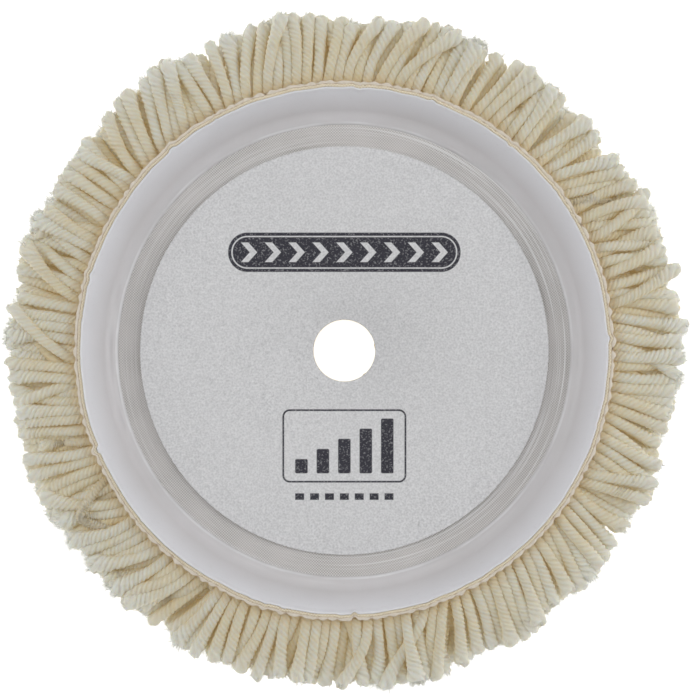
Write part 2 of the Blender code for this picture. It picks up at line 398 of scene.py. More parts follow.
class Finish:
    """A Principled material and the nodes that feed it."""

    def __init__(self, name, roughness, colour=(0.8, 0.8, 0.8), **inputs):
        self.material = bpy.data.materials.new(name)
        self.material.use_nodes = True
        self.tree = self.material.node_tree
        self.shader = self.tree.nodes["Principled BSDF"]
        self.shader.inputs["Roughness"].default_value = roughness
        self.shader.inputs["Base Color"].default_value = (*colour, 1)
        for label, value in inputs.items():
            self.shader.inputs[label.replace("_", " ")].default_value = value

    def place(self):
        """The coordinates of the point being shaded, in metres in the pad's frame, as three fields."""
        where = self.tree.nodes.new("ShaderNodeTexCoord")
        split = self.tree.nodes.new("ShaderNodeSeparateXYZ")
        self.tree.links.new(where.outputs["Object"], split.inputs[0])
        return [Field(self.tree, socket) for socket in split.outputs]

    def stored(self, name):
        """A number stored on the mesh."""
        node = self.tree.nodes.new("ShaderNodeAttribute")
        node.attribute_name = name
        return Field(self.tree, node.outputs["Fac"])

    def vector(self, *parts):
        node = self.tree.nodes.new("ShaderNodeCombineXYZ")
        for slot, part in enumerate(parts):
            self.tree.links.new(part.socket, node.inputs[slot])
        return node.outputs[0]

    def noise(self, scale, detail=2.0, at=None):
        """Smooth noise from 0 to 1 with that many waves in a metre, or in a unit of at."""
        node = self.tree.nodes.new("ShaderNodeTexNoise")
        node.inputs["Scale"].default_value = scale
        node.inputs["Detail"].default_value = detail
        if at is None:
            at = self.tree.nodes.new("ShaderNodeTexCoord").outputs["Object"]
        self.tree.links.new(at, node.inputs["Vector"])
        return Field(self.tree, node.outputs["Fac"])

    def weave(self, x, y, pitch):
        return (x * (math.pi / pitch)).sine() * (y * (math.pi / pitch)).sine()

    def blend(self, amount, first, second):
        """A colour between two, each a colour or the result of another blend."""
        node = self.tree.nodes.new("ShaderNodeMix")
        node.data_type = "RGBA"
        self.tree.links.new(amount.socket, node.inputs["Factor"])
        for label, colour in (("A", first), ("B", second)):
            socket = next(s for s in node.inputs if s.name == label and s.type == "RGBA")
            if isinstance(colour, tuple):
                socket.default_value = (*colour, 1)
            else:
                self.tree.links.new(colour, socket)
        return next(s for s in node.outputs if s.type == "RGBA")

    def colour(self, socket):
        self.tree.links.new(socket, self.shader.inputs["Base Color"])

    def roughness(self, field):
        self.tree.links.new(field.socket, self.shader.inputs["Roughness"])

    def bump(self, height, distance, strength=1.0):
        """Raises the surface by height, from 0 to 1, times distance in metres."""
        node = self.tree.nodes.new("ShaderNodeBump")
        node.inputs["Distance"].default_value = distance
        node.inputs["Strength"].default_value = strength
        self.tree.links.new(height.socket, node.inputs["Height"])
        self.tree.links.new(node.outputs[0], self.shader.inputs["Normal"])


# --- The frame ---

def inner_radius(node):
    """The smallest distance from the axis to a CAD node's vertices."""
    return min(math.hypot(v.co.x, v.co.y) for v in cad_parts[node].data.vertices)


FLOOR_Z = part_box("dish_floor")[1].z
FLOOR_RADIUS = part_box("dish_floor")[1].x + LINER_OVERLAP + GAP
HOLE_RADIUS = inner_radius("loop_disc")
LOOP_LOW, LOOP_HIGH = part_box("loop_disc")
RIM_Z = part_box("wall_liner")[1].z
COVER_DEPTH = FLOOR_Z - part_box("tufting_cloth")[0].z
PILE_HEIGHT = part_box("pile_row_01")[1].z
PILE_DEPTH = FLOOR_Z - PILE_HEIGHT
PAD_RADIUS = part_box("pile_row_15")[1].x


def dish_point(station, depth):
    """The (radius, height) at a distance along the dish's upper face, depth below that face.

    Stations count from where the flat floor ends: negative on the floor, then round the corner, then up
    the wall. Both arguments may be arrays.
    """
    station = np.asarray(station, float)
    turn = np.clip(station / CORNER_RADIUS, 0, WALL_SLOPE)
    flat = np.minimum(station, 0)
    climb = np.maximum(station - CORNER_LENGTH, 0)
    reach = CORNER_RADIUS + depth
    radius = FLOOR_RADIUS + flat + reach * np.sin(turn) + climb * math.cos(WALL_SLOPE)
    height = FLOOR_Z + CORNER_RADIUS - reach * np.cos(turn) + climb * math.sin(WALL_SLOPE)
    return radius, height


HOLE_STATION = HOLE_RADIUS - FLOOR_RADIUS
RIM_RADIUS, WALL_TOP = (float(v) for v in dish_point(WALL_END, 0))
EDGE_RADIUS = RIM_RADIUS + BEAD_EDGE[1]


# --- How the edges and the wall stray from true circles ---

FRAY = Waves(120, 340, 24)
TUFT_BUMPS = Waves(90, 200, 24)
LINER_RIPPLE = Waves(5, 40, 10)
DISH_RIPPLE = Waves(3, 24, 8)
CREASE_BREAKS = Waves(3, 30, 10)


def rim_wobble():
    """How far the trimmed rim strays from a true circle. It jogs where the trimming knife was lifted."""
    turns = np.linspace(0, TURN, RIM_STEPS, endpoint=False)
    wobble = RIM_WOBBLE * Waves(4, 60, 26).at(turns)
    for _ in range(RIM_JOGS):
        centre = RANDOM.uniform(0, TURN)
        width = RANDOM.uniform(0.006, 0.016)
        away = (turns - centre + math.pi) % TURN - math.pi
        wobble += RANDOM.normal(0, RIM_JOG_SIZE) * np.exp(-(away / width) ** 6)
    return wobble[:, None]


WOBBLE = rim_wobble()


# --- The loop disc and its print ---

def inside(distance):
    """1 where a distance field is negative, with the print's soft edge."""
    return distance.ramp(PRINT_EDGE, -PRINT_EDGE)


def box_distance(x, y, half_width, half_height, corner=0.0):
    """The distance to a box with round corners, centred where x and y are 0."""
    over_x = (abs(x) - (half_width - corner)).most(0.0)
    over_y = (abs(y) - (half_height - corner)).most(0.0)
    return (over_x * over_x + over_y * over_y).power(0.5) - corner


def printed_band(x, y):
    """A dark band with round ends, a light line inside its edge and a row of light chevrons."""
    band = inside(box_distance(x, y, BAND_HALF_WIDTH, BAND_HALF_HEIGHT, BAND_HALF_HEIGHT * 0.98))
    half_width, half_height = BAND_HALF_WIDTH - BAND_INLAY, BAND_HALF_HEIGHT - BAND_INLAY
    inlay = abs(box_distance(x, y, half_width, half_height, half_height * 0.98)) - 0.22 * MM
    slant = x + abs(y) * 0.9 - 1.5 * MM
    chevron = (slant.repeat(CHEVRON_PITCH) - CHEVRON_HALF_WIDTH).most(abs(y) - CHEVRON_HALF_HEIGHT)
    chevrons = chevron.most(abs(slant) - CHEVRONS / 2 * CHEVRON_PITCH)
    return band - inside(inlay) - inside(chevrons)


def printed_scale(x, y):
    """A thin round-cornered frame round bars that grow to the right."""
    frame_line = abs(box_distance(x, y, PANEL_HALF_WIDTH, PANEL_HALF_HEIGHT, PANEL_CORNER)) - 0.30 * MM
    ink = inside(frame_line)
    for bar in range(BARS):
        half_height = FIRST_BAR_HALF_HEIGHT + BAR_GROWTH * bar
        centre_x = (bar - (BARS - 1) / 2) * BAR_PITCH
        centre_y = half_height - PANEL_FOOT
        shape = box_distance(x - centre_x, y - centre_y, BAR_HALF_WIDTH, half_height, 0.5 * MM)
        ink = ink.most(inside(shape))
    return ink


def printed_dashes(x, y):
    """A row of short dashes."""
    dash = (x.repeat(DASH_PITCH) - DASH_HALF_WIDTH).most(abs(y) - DASH_HALF_HEIGHT)
    return inside(dash.most(abs(x) - DASH_ROW_HALF_WIDTH))


def loop_fabric_finish(name, dark, light, relief):
    """Brushed loop knit in pale grey, with its slightly worn print."""
    fabric = Finish(name, 0.95, Sheen_Weight=0.3, Sheen_Roughness=0.6, Specular_IOR_Level=0.1)
    x, y, _ = fabric.place()
    speckle = fabric.noise(1500.0, 3.0)
    ground = fabric.blend(speckle.ramp(0.3, 0.7), dark, light)
    clouded = fabric.blend(fabric.noise(45.0, 2.0) * 0.25, ground, light)
    ink = printed_band(x, y - BAND_Y).most(printed_scale(x, y - PANEL_Y)).most(printed_dashes(x, y - DASH_Y))
    worn = fabric.noise(1500.0, 2.0).ramp(0.30, 0.46) * 0.35 + 0.65
    fabric.colour(fabric.blend(ink.clamped() * worn, clouded, (0.045, 0.044, 0.058)))
    fabric.bump(speckle, relief, 0.8)
    return fabric.material


def loop_section(turns):
    """The loop fabric's ground: flat, with a soft outer edge that frays a little."""
    ones = np.ones((len(turns), 1))
    top = LOOP_HIGH.z - NAP_DEPTH
    ease = np.linspace(0, math.pi / 2, 4)
    rounding = LOOP_HIGH.x - LOOP_EDGE + LOOP_EDGE * np.sin(ease)
    radius = np.concatenate([[HOLE_RADIUS, HOLE_RADIUS + 0.15 * MM], rounding, [LOOP_HIGH.x, HOLE_RADIUS]])
    falling = top - LOOP_EDGE + LOOP_EDGE * np.cos(ease)
    height = np.concatenate([[top - 0.2 * MM, top], falling, [LOOP_LOW.z, LOOP_LOW.z]])
    fray = FRAY.column(turns, CLOTH_FRAY) * (radius > LOOP_HIGH.x - LOOP_EDGE)
    return ones * radius + fray, ones * height


def nap_paths():
    """Fine loops that lie every way on the fabric's ground."""
    turns = RANDOM.uniform(0, TURN, NAP_FIBRES)
    inner, outer = HOLE_RADIUS + 0.8 * MM, LOOP_HIGH.x - 0.8 * MM
    radius = np.sqrt(RANDOM.uniform(inner ** 2, outer ** 2, NAP_FIBRES))
    heading = RANDOM.uniform(0, TURN, NAP_FIBRES)
    reach = RANDOM.uniform(0.35, 0.7, NAP_FIBRES)[:, None] * MM
    rise = RANDOM.uniform(0.08, 0.28, NAP_FIBRES)[:, None] * MM
    curl = RANDOM.normal(0, 0.35, NAP_FIBRES)[:, None]
    steps = np.array([-1.0, -0.4, 0.4, 1.0])
    ahead = np.stack([np.cos(heading), np.sin(heading)], 1)[:, None]
    across = np.stack([-np.sin(heading), np.cos(heading)], 1)[:, None]
    middle = np.stack([radius * np.cos(turns), radius * np.sin(turns)], 1)[:, None]
    flat = middle + ahead * (reach * steps)[..., None] + across * (reach * curl * steps ** 2)[..., None]
    height = LOOP_HIGH.z - NAP_DEPTH - 0.06 * MM + rise * (1 - steps ** 2)
    return np.concatenate([flat, height[..., None]], -1)


def declare_disc(flat_radius):
    """Works out the area of a cloth disc of that radius, less the centre hole. The area is not used."""
    area = math.pi * (flat_radius ** 2 - HOLE_RADIUS ** 2)


def make_loop_disc():
    """The loop disc's knitted ground, and the nap of fine loops on it."""
    disc = turned("loop_fabric_ground", loop_section, RIM_STEPS)
    ground = loop_fabric_finish("loop_ground", (0.63, 0.63, 0.64), (0.88, 0.88, 0.89), 0.16 * MM)
    place(disc, ground, "loop_fabric", "loop_disc")
    nap = thin_fibres("loop_fabric_nap", nap_paths(), np.full(4, NAP_THICKNESS))
    loops = loop_fabric_finish("loop_nap", (0.76, 0.76, 0.77), (0.85, 0.85, 0.87), 0.05 * MM)
    place(nap, loops, "loop_fabric")
    declare_disc(LOOP_HIGH.x)


# --- The dish, the liner and the trimmed rim ---

def coated_cloth_finish():
    """Fine plain weave under a clear coat that dried in rings, more clearly on the right."""
    cloth = Finish("coated_weave", 0.6, Coat_Weight=0.35, Coat_Roughness=0.25)
    x, y, _ = cloth.place()
    weave = cloth.weave(x, y, WEAVE_PITCH)
    radius = (x * x + y * y).power(0.5)
    rings = cloth.noise(1.0, 2.0, cloth.vector(radius * 1500.0, x * 14.0, y * 14.0))
    base = cloth.blend(weave.ramp(-0.8, 0.8), (0.39, 0.37, 0.36), (0.80, 0.78, 0.76))
    clouded = cloth.blend(cloth.noise(70.0, 3.0).ramp(0.35, 0.70) * 0.55, base, (0.70, 0.67, 0.66))
    clearer = x.ramp(-0.02, 0.07) * 0.65 + 0.25
    cloth.colour(cloth.blend(rings.ramp(0.52, 0.66) * clearer, clouded, (0.90, 0.90, 0.90)))
    cloth.bump(weave * 0.5 + 0.5, 0.05 * MM, 0.7)
    return cloth.material


def liner_finish():
    """Milky film, painted greyer low on the wall and whiter towards the rim, as painted shade and painted
    light, with a painted highlight along the crease.
    """
    film = Finish("liner_film", 0.42, Coat_Weight=0.2, Coat_Roughness=0.25, Subsurface_Weight=0.2)
    film.shader.inputs["Subsurface Radius"].default_value = (1.0, 0.9, 0.9)
    film.shader.inputs["Subsurface Scale"].default_value = 1.5 * MM
    x, y, z = film.place()
    clouds = film.noise(38.0, 3.0)
    # Painted shade and painted light: the film is greyer low on the wall and whiter towards the rim, for how
    # light falls on the wall
    low = film.blend(clouds, (0.66, 0.64, 0.64), (0.76, 0.74, 0.76))
    high = film.blend(clouds, (0.80, 0.795, 0.83), (0.87, 0.87, 0.90))
    base = film.blend(z.ramp(FLOOR_Z + 3 * MM, RIM_Z - 1 * MM), low, high)
    radius = (x * x + y * y).power(0.5)
    # Painted highlight: a broken bright line along the crease
    crease = abs(radius - (FLOOR_RADIUS + CREASE_STATION)).ramp(0.5 * MM, 0.15 * MM)
    broken = film.noise(34.0, 3.0).ramp(0.40, 0.56) * 0.5 + 0.08
    crease_highlighted = film.blend(crease * broken, base, (0.94, 0.94, 0.96))
    film.colour(film.blend(film.noise(900.0, 2.0).ramp(0.60, 0.72) * 0.12, crease_highlighted, (0.63, 0.60, 0.59)))
    film.roughness(clouds * 0.12 + 0.38)
    film.bump(film.noise(120.0, 3.0), 0.25 * MM, 0.35)
    return film.material


def plain_cloth_finish(name, dark, light, pitch):
    """Matte woven cloth without a coat."""
    cloth = Finish(name, 0.92, Sheen_Weight=0.15)
    x, y, _ = cloth.place()
    weave = cloth.weave(x, y, pitch)
    fray = cloth.noise(1400.0, 3.0)
    woven = cloth.blend(weave.ramp(-0.8, 0.8), dark, light)
    cloth.colour(cloth.blend(fray.ramp(0.4, 0.8) * 0.5, woven, light))
    cloth.bump(weave * 0.3 + fray * 0.4, 0.12 * MM, 0.9)
    return cloth.material


def latex_finish(name, dark, light):
    """Dried latex or melted glue: satin and lumpy, with tiny bubbles."""
    latex = Finish(name, 0.5, Coat_Weight=0.15, Coat_Roughness=0.3)
    lumps = latex.noise(700.0, 3.0)
    bubbles = latex.noise(2600.0, 1.0)
    lumpy = latex.blend(lumps, light, dark)
    latex.colour(latex.blend(bubbles.ramp(0.62, 0.74) * 0.4, lumpy, dark))
    latex.bump(lumps * 0.8 + bubbles * 0.2, 0.25 * MM, 0.8)
    return latex.material


def bead_finish():
    """Off-white latex over cut yarn ends, brown down its sides."""
    bead = Finish("bead_latex", 0.6)
    lumps = bead.noise(700.0, 3.0)
    _, _, z = bead.place()
    lumpy = bead.blend(lumps, (0.86, 0.80, 0.72), (0.72, 0.63, 0.50))
    side = z.ramp(WALL_TOP + BEAD_SIDE[0], WALL_TOP + BEAD_SIDE[1])
    bead.colour(bead.blend(side, lumpy, (0.48, 0.34, 0.20)))
    bead.bump(lumps, 0.25 * MM, 0.8)
    return bead.material


def dish_section(turns):
    """The coated cloth: its floor has the coat's faint rings and ripples, and its wall is plain."""
    ones = np.ones((len(turns), 1))
    rippled_from = LOOP_HIGH.x - FLOOR_RADIUS - 2 * MM
    stations = np.concatenate([[HOLE_STATION], np.linspace(rippled_from, 0, 38),
                               np.linspace(0.6 * MM, WALL_END - 0.5 * MM, 24)])
    radius, height = dish_point(stations, 0.0)
    floor = stations < -LINER_OVERLAP
    rings = np.sin(radius / MM * 2.1) * 0.5 + np.sin(radius / MM * 4.7 + 1.0) * 0.5
    ripple = DISH_RIPPLE.column(turns, FLOOR_RIPPLE) * np.sin(radius / MM * 3.3)
    upper_height = ones * height + floor * (FLOOR_RINGS * rings + ripple)
    under_radius, under_height = dish_point(stations[::-1], CLOTH_THICKNESS)
    return (np.concatenate([ones * radius, ones * under_radius], 1),
            np.concatenate([upper_height, ones * under_height], 1))


def cover_section(turns):
    """The tufting cloth: an even layer under the dish, from the hole to the rim."""
    ones = np.ones((len(turns), 1))
    stations = np.concatenate([[HOLE_STATION], np.linspace(-30 * MM, WALL_END - 1.2 * MM, 40)])
    upper = dish_point(stations, COVER_DEPTH - COVER_THICKNESS)
    lower = dish_point(stations[::-1], COVER_DEPTH)
    return tuple(ones * np.concatenate(sides) for sides in zip(upper, lower))


def liner_section(turns):
    """The liner: a ridge at the crease, up the wall, and a lip that rolls out over the rim."""
    ones = np.ones((len(turns), 1))
    stations = np.concatenate([np.linspace(-LINER_OVERLAP, 2.2 * MM, 14),
                               np.linspace(2.7 * MM, WALL_END - 0.8 * MM, 28)])
    thinned = np.clip((stations - stations[0]) / LINER_THICKENS_OVER, 0, 1)
    thickness = LINER_EDGE + (LINER_THICKNESS + GAP - LINER_EDGE) * thinned * (2 - thinned)
    upper_radius, upper_height = dish_point(stations, -thickness)
    lower_radius, lower_height = dish_point(stations[::-1], 0.04 * MM)
    waves = LINER_RIPPLE.column(turns, 0.10 * MM) * np.sin(np.linspace(0, 3 * math.pi, len(stations)))
    ridge = CREASE_RIDGE * np.clip(0.5 + CREASE_BREAKS.column(turns, 0.7), 0.05, 1.5)
    crease = ridge * np.exp(-((stations - CREASE_STATION) / CREASE_WIDTH) ** 2)

    lip_out, lip_drop = np.array(LIP).T * MM
    lip_radius = upper_radius[-1] + lip_out
    lip_height = RIM_Z - lip_drop
    radius = ones * np.concatenate([upper_radius, lip_radius, lower_radius])
    height = np.concatenate([upper_height + waves + crease, ones * lip_height, ones * lower_height], 1)
    near_rim = np.clip((height - (RIM_Z - 3.5 * MM)) / (3.5 * MM), 0, 1) ** 2
    return radius + near_rim * WOBBLE, height


def edge_section(inner, outer, bottom, top, bumps, lumpiness):
    """A trimmed edge with a round top, which follows the rim's wobble and has bumps of its own."""
    def section(turns):
        ones = np.ones((len(turns), 1))
        corner = np.linspace(0, math.pi, 9)
        middle, half = (inner + outer) / 2, (outer - inner) / 2
        own = bumps.column(turns, lumpiness)
        arch_radius = middle - half * np.cos(corner) + own * (np.cos(corner) < 0)
        arch_height = top - half * 0.8 + half * 0.8 * np.sin(corner) + own * 0.6 * np.sin(corner)
        radius = np.concatenate([ones * inner, arch_radius, ones * outer], 1)
        height = np.concatenate([ones * bottom, arch_height, ones * bottom], 1)
        return radius + WOBBLE, height
    return section


def make_dish():
    """The coated cloth dish with its fraying edge, and the tufting cloth beneath it."""
    dish = turned("dish_cloth", dish_section, RIM_STEPS)
    place(dish, coated_cloth_finish(), "coated_cloth", "dish_floor", "dish_wall")
    cloth_edge = edge_section(RIM_RADIUS + CLOTH_EDGE[0], RIM_RADIUS + CLOTH_EDGE[1],
                              WALL_TOP + CLOTH_EDGE_LOW, WALL_TOP + CLOTH_EDGE_TOP, FRAY, CLOTH_FRAY)
    fray = turned("dish_cloth_edge", cloth_edge, RIM_STEPS)
    tan_cloth = plain_cloth_finish("tan_cloth", (0.78, 0.64, 0.43), (0.90, 0.84, 0.68), 0.5 * MM)
    place(fray, tan_cloth, "coated_cloth")
    declare_disc(FLOOR_RADIUS + WALL_END)

    cover = turned("tufting_cloth_skin", cover_section, HIDDEN_STEPS)
    jute = plain_cloth_finish("tufting_weave", (0.59, 0.45, 0.25), (0.87, 0.73, 0.50), 1.1 * MM)
    place(cover, jute, "tufting_cloth", "tufting_cloth")
    declare_disc(FLOOR_RADIUS + WALL_END)


def make_rim():
    """The liner, and the bead of latex and cut yarn outside it."""
    liner = turned("wall_liner_film", liner_section, RIM_STEPS)
    place(liner, liner_finish(), "wall_liner", "wall_liner")
    bead_edge = edge_section(RIM_RADIUS + BEAD_EDGE[0], RIM_RADIUS + BEAD_EDGE[1],
                             WALL_TOP + BEAD_LOW, WALL_TOP + BEAD_TOP, TUFT_BUMPS, BEAD_BUMPS)
    bead = turned("rim_bead", bead_edge, RIM_STEPS)
    place(bead, bead_finish(), "edge_bead", "edge_bead")


def finish_hidden_layers():
    """The two layers that only show as thin lines keep their CAD shape and get their finish."""
    layers = (("latex_coat", "lock_latex", (0.82, 0.73, 0.53), (0.90, 0.86, 0.72)),
              ("loop_glue_film", "hot_melt", (0.77, 0.62, 0.31), (0.90, 0.87, 0.53)))
    for node, name, dark, light in layers:
        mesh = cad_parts[node].data
        mesh.materials.clear()
        mesh.materials.append(latex_finish(name, dark, light))


# --- Where the tufts are rooted, and how they lie ---

def row_edges():
    """Where each CAD row of tufts begins and ends, hole to rim: (station, splay, pile length) at each edge.

    The tufts hang straight over most of the floor, and fan out round the corner and up the wall.
    """
    first = FIRST_ROW_RADIUS - FLOOR_RADIUS
    edges = []
    for row in range(FLOOR_ROWS + 1):
        along = row / FLOOR_ROWS
        splay = SPLAY_START * max(0.0, (along - SPLAY_BEGINS) / SPLAY_SPAN) ** 2
        edges.append((first * (1 - along), splay, PILE_HEIGHT))
    for row in range(1, CORNER_ROWS + 1):
        along = row / CORNER_ROWS
        edges.append((CORNER_LENGTH * along, SPLAY_START + (SPLAY_CORNER - SPLAY_START) * along, PILE_HEIGHT))
    rows_length = WALL_LENGTH - BEAD_HEIGHT
    rim_length = PAD_RADIUS - dish_point(CORNER_LENGTH + rows_length, PILE_DEPTH)[0]
    for row in range(1, WALL_ROWS + 1):
        along = row / WALL_ROWS
        splay = SPLAY_CORNER + (SPLAY_RIM - SPLAY_CORNER) * along
        length = PILE_HEIGHT + (rim_length - PILE_HEIGHT) * along
        edges.append((CORNER_LENGTH + rows_length * along, splay, length))
    return edges


LEAN = Waves(3, 20, 12, 0.9)
LIFT = Waves(9, 50, 10, 0.5)
TRIM = Waves(3, 30, 12, 0.2)
UP = np.array([0.0, 0.0, 1.0])


class Tufts:
    """Tufts of yarn: their paths, and for each its length, circle, trimmed radius, lie and looks."""

    FACTS = ("paths", "lengths", "circles", "targets", "open_side", "shade", "bloom")

    def __init__(self, **facts):
        for fact in self.FACTS:
            setattr(self, fact, facts[fact])

    def __len__(self):
        return len(self.paths)

    def where(self, chosen):
        """Some of the tufts."""
        return Tufts(**{fact: getattr(self, fact)[chosen] for fact in self.FACTS})

    @classmethod
    def joined(cls, groups):
        """Several groups of tufts as one."""
        return cls(**{fact: np.concatenate([getattr(group, fact) for group in groups]) for fact in cls.FACTS})


def standing_tufts():
    """Every tuft before packing, circle by circle from the hole to the rim."""
    edges = row_edges()
    circles = CIRCLES_IN_ROW * (len(edges) - 1)
    groups = []
    for circle in range(circles):
        row, half = divmod(circle, CIRCLES_IN_ROW)
        along = (half + 0.5) / CIRCLES_IN_ROW
        station, splay, length = (a + (b - a) * along for a, b in zip(edges[row], edges[row + 1]))
        groups.append(circle_of_tufts(station, splay, length, circle, circles - 1 - circle))
    return Tufts.joined(groups)


def circle_of_tufts(station, splay, length, circle, below_top):
    """One circle of tufts. They lean clockwise, in clumps, and droop.

    The working face's tufts stand nearly straight, and the higher on the wall, the more a tuft leans.
    Those of the wall and the upper corner are marked to be trimmed to the pad's outline.
    """
    freedom = LEAST_FREEDOM + (1 - LEAST_FREEDOM) * min(splay / SPLAY_CORNER, 1.0)
    radius, height = (float(v) for v in dish_point(station, COVER_DEPTH))
    count = round(TURN * radius / TUFT_PITCH)
    turns = TURN * (np.arange(count) + 0.5 * (circle % 2) + RANDOM.normal(0, PLACE_JITTER, count)) / count
    outward = np.stack([np.cos(turns), np.sin(turns), np.zeros(count)], 1)
    clockwise = np.stack([np.sin(turns), -np.cos(turns), np.zeros(count)], 1)

    splays = splay + np.radians(RANDOM.normal(0, SPLAY_JITTER, count))
    splays = splays + np.radians(LIFT_SWING) * LIFT.at(turns, circle)
    start = outward * np.sin(splays)[:, None] - UP * np.cos(splays)[:, None]
    leans = LEAN_MEAN + LEAN_SWING * LEAN.at(turns, circle) + RANDOM.normal(0, LEAN_JITTER, count)
    strays = RANDOM.random(count) < STRAY_SHARE * (freedom == 1.0)
    leans += strays * RANDOM.choice([-1, 1], count) * RANDOM.uniform(*STRAY_ANGLES, count)
    leans *= freedom
    lengths = length * (1 + LENGTH_SWING * TRIM.at(turns, circle) + RANDOM.normal(0, LENGTH_JITTER, count))
    wiggle = RANDOM.normal(0, WIGGLE, (count, 1))
    bounce = RANDOM.normal(0, BOUNCE, (count, 1))

    along = np.linspace(0, 1, PATH_NODES)
    aside = (np.tan(leans) * lengths)[:, None] * along ** 1.6 + wiggle * np.sin(along * math.pi * 1.5)
    lifted = STRAY_RISE * strays[:, None] * np.sin(along * math.pi * 0.8)
    lifted = lifted + bounce * np.sin(along * math.pi * 1.3) - freedom ** 2 * DROOP * along ** 2
    paths = outward[:, None] * radius + UP * height + start[:, None] * (lengths[:, None] * along)[..., None]
    paths += clockwise[:, None] * aside[..., None] + UP * lifted[..., None]

    targets = np.full(count, math.nan)
    if circle >= FIRST_TRIMMED_CIRCLE:
        outline = PAD_RADIUS - (TRIM_INSET + TRIM_STEP * below_top) * MM + TRIM_SWING * TRIM.at(turns)
        targets = outline + RANDOM.normal(0, TRIM_JITTER, count)
    # Painted shade: the circles below the top one may be tanner, over each tuft's random tone
    palest = PALEST_BELOW if below_top else PALEST_AT_TOP
    opened = RANDOM.random(count) < OPEN_SHARE
    return Tufts(
        paths=paths,
        lengths=lengths,
        circles=np.full(count, circle),
        targets=targets,
        open_side=outward * math.cos(splay) + UP * math.sin(splay),
        shade=np.where(opened, 1.0, palest + (1 - palest) * RANDOM.beta(1.6, 1.6, count)),
        bloom=np.where(opened, OPEN_BLOOM, RANDOM.uniform(0.25, 1.0, count)),
    )


# --- Packing the tufts side by side ---

def touching_pairs(points, strands, reach):
    """The pairs of points closer than reach that lie on different strands, as two arrays."""
    tree = KDTree(len(points))
    for index, point in enumerate(points):
        tree.insert(point, index)
    tree.balance()
    pairs = []
    for index, point in enumerate(points):
        strand = strands[index]
        near = tree.find_range(point, reach)
        pairs += [(index, other) for _, other, _ in near if other > index and strands[other] != strand]
    return np.array(pairs).T


def keep_clear(points, clearance):
    """Moves points out of the tufting cloth, off the ground, below the rim and out of the centre hole."""
    radius = np.hypot(points[:, 0], points[:, 1])
    from_corner = radius - FLOOR_RADIUS
    above_corner = points[:, 2] - (FLOOR_Z + CORNER_RADIUS)
    turn = np.clip(np.arctan2(from_corner, -above_corner), 0, WALL_SLOPE)
    outside = from_corner * np.sin(turn) - above_corner * np.cos(turn) - CORNER_RADIUS - COVER_DEPTH
    push = np.maximum(clearance - outside, 0) * (points[:, 2] < RIM_Z)
    points[:, :2] += (push * np.sin(turn) / radius)[:, None] * points[:, :2]
    points[:, 2] -= push * np.cos(turn)

    radius = np.hypot(points[:, 0], points[:, 1])
    ceiling = RIM_Z - 1.4 * MM + np.clip((radius - EDGE_RADIUS) * 0.35, 0, 2.6 * MM)
    points[:, 2] = np.clip(points[:, 2], 0.2 * MM, ceiling)
    from_hole = np.maximum(HOLE_RADIUS + 2 * clearance - radius, 0) / radius
    points[:, :2] += from_hole[:, None] * points[:, :2]


def push_apart(points, first, other, spacing):
    """How far each point moves so that touching strands end up spacing apart."""
    apart = points[first] - points[other]
    distance = np.linalg.norm(apart, axis=1) + 1e-9
    wanted = (spacing[first] + spacing[other]) / 2
    shift = apart * (np.maximum(wanted - distance, 0) / distance * 0.5)[:, None]
    moved = np.stack([np.bincount(first, column, len(points)) - np.bincount(other, column, len(points))
                      for column in shift.T], 1)
    return np.clip(moved, -LONGEST_PUSH, LONGEST_PUSH)


def pack(tufts):
    """Pushes tufts apart, each as springy as yarn, and trims them to length. They stay partly overlapped."""
    paths, lengths = tufts.paths, tufts.lengths
    count, nodes, _ = paths.shape
    trimmed = ~np.isnan(tufts.targets)
    strands = np.repeat(np.arange(count), nodes)
    root_radius = np.hypot(paths[:, 0, 0], paths[:, 0, 1])
    second = paths[:, 1].copy()
    movable = np.tile(np.arange(nodes) > 1, count)
    opened = trimmed[:, None] * np.clip(np.linspace(-1, 1, nodes), 0, 1)
    spacing = (YARN_SPACING + (TIP_SPACING - YARN_SPACING) * opened).ravel()

    for step in range(RELAX_STEPS):
        flat = paths.reshape(-1, 3)
        if step % PAIR_STEPS == 0:
            first, other = touching_pairs(flat, strands, YARN_SPACING * PAIR_REACH)
        flat += push_apart(flat, first, other, spacing) * movable[:, None]
        paths[:, 1:-1] += STIFFNESS * ((paths[:, :-2] + paths[:, 2:]) / 2 - paths[:, 1:-1])
        paths[:, 1] = second
        kept = flat[movable]
        keep_clear(kept, YARN_RADIUS * CLEARANCE)
        flat[movable] = kept
        if step % TRIM_STEPS == TRIM_STEPS - 1:
            tip_radius = np.hypot(paths[:, -1, 0], paths[:, -1, 1])
            wanted = (tufts.targets - root_radius) / np.maximum(tip_radius - root_radius, LEAST_REACH)
            lengths = np.where(trimmed, lengths * np.clip(wanted, *TRIM_LIMITS), lengths)
        for node in range(2, nodes):
            along = paths[:, node] - paths[:, node - 1]
            along /= np.linalg.norm(along, axis=1)[:, None]
            along[:, 2] = np.where(trimmed, np.minimum(along[:, 2], STEEPEST), along[:, 2])
            paths[:, node] = paths[:, node - 1] + along * (lengths / (nodes - 1))[:, None]
    for _ in range(LAST_SMOOTHING):
        paths[:, 1:-1] += 0.5 * ((paths[:, :-2] + paths[:, 2:]) / 2 - paths[:, 1:-1])
    tufts.lengths = lengths


# --- The yarn ---

